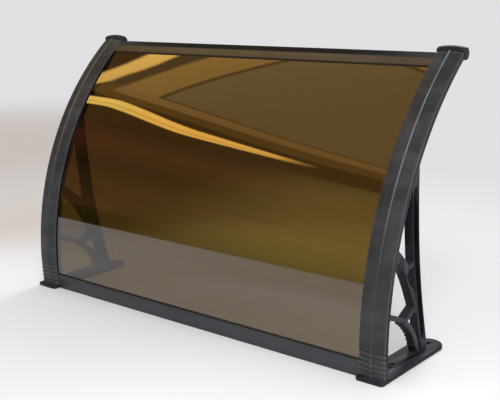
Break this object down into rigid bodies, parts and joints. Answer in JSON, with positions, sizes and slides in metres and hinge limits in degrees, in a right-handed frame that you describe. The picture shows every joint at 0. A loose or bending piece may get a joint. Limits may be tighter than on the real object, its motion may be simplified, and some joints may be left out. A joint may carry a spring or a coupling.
{
  "type": "door canopy",
  "caption": "Curved door canopy: a clear bronze sheet clamped between two plastic lattice brackets with metal edge profiles.",
  "frame": {"origin": "centre of the canopy's footprint, on the plane of the wall plates' backs", "axes": "+X along the width, -Y the weather side that faces up when installed, +Z away from the wall; stored standing on its wall plates as pictured"},
  "size_m": [1.005, 0.2942, 0.6017],
  "materials": {
    "bracket_plastic": "moulded black engineering plastic, fine grain",
    "cover_plastic": "moulded charcoal plastic, satin",
    "cap_plastic": "moulded charcoal plastic, satin",
    "bronze_sheet": "clear bronze-brown solid sheet, polished",
    "wall_aluminium": "dark grey coated extrusion",
    "front_aluminium": "dark bronze-grey coated extrusion",
    "gasket_rubber": "black extruded rubber",
    "seal_rubber": "black extruded rubber strip",
    "screw_steel": "zinc-plated pan-head screw",
    "fixing_steel": "zinc-plated pan-head screw"
  },
  "bodies": {
    "root": {"bracket_left": "bracket_plastic", "bracket_right": "bracket_plastic", "cap_left": "cap_plastic", "cap_right": "cap_plastic", "cover_left": "cover_plastic", "cover_right": "cover_plastic", "cover_screw_left_1": "screw_steel", "cover_screw_left_2": "screw_steel", "cover_screw_left_3": "screw_steel", "cover_screw_left_4": "screw_steel", "cover_screw_right_1": "screw_steel", "cover_screw_right_2": "screw_steel", "cover_screw_right_3": "screw_steel", "cover_screw_right_4": "screw_steel", "front_gasket": "gasket_rubber", "front_profile": "front_aluminium", "front_screw_left": "fixing_steel", "front_screw_right": "fixing_steel", "roof_sheet": "bronze_sheet", "seal_lower_left": "seal_rubber", "seal_lower_right": "seal_rubber", "seal_upper_left": "seal_rubber", "seal_upper_right": "seal_rubber", "wall_gasket": "gasket_rubber", "wall_profile": "wall_aluminium", "wall_screw_left": "fixing_steel", "wall_screw_right": "fixing_steel"}
  },
  "joints": []
}
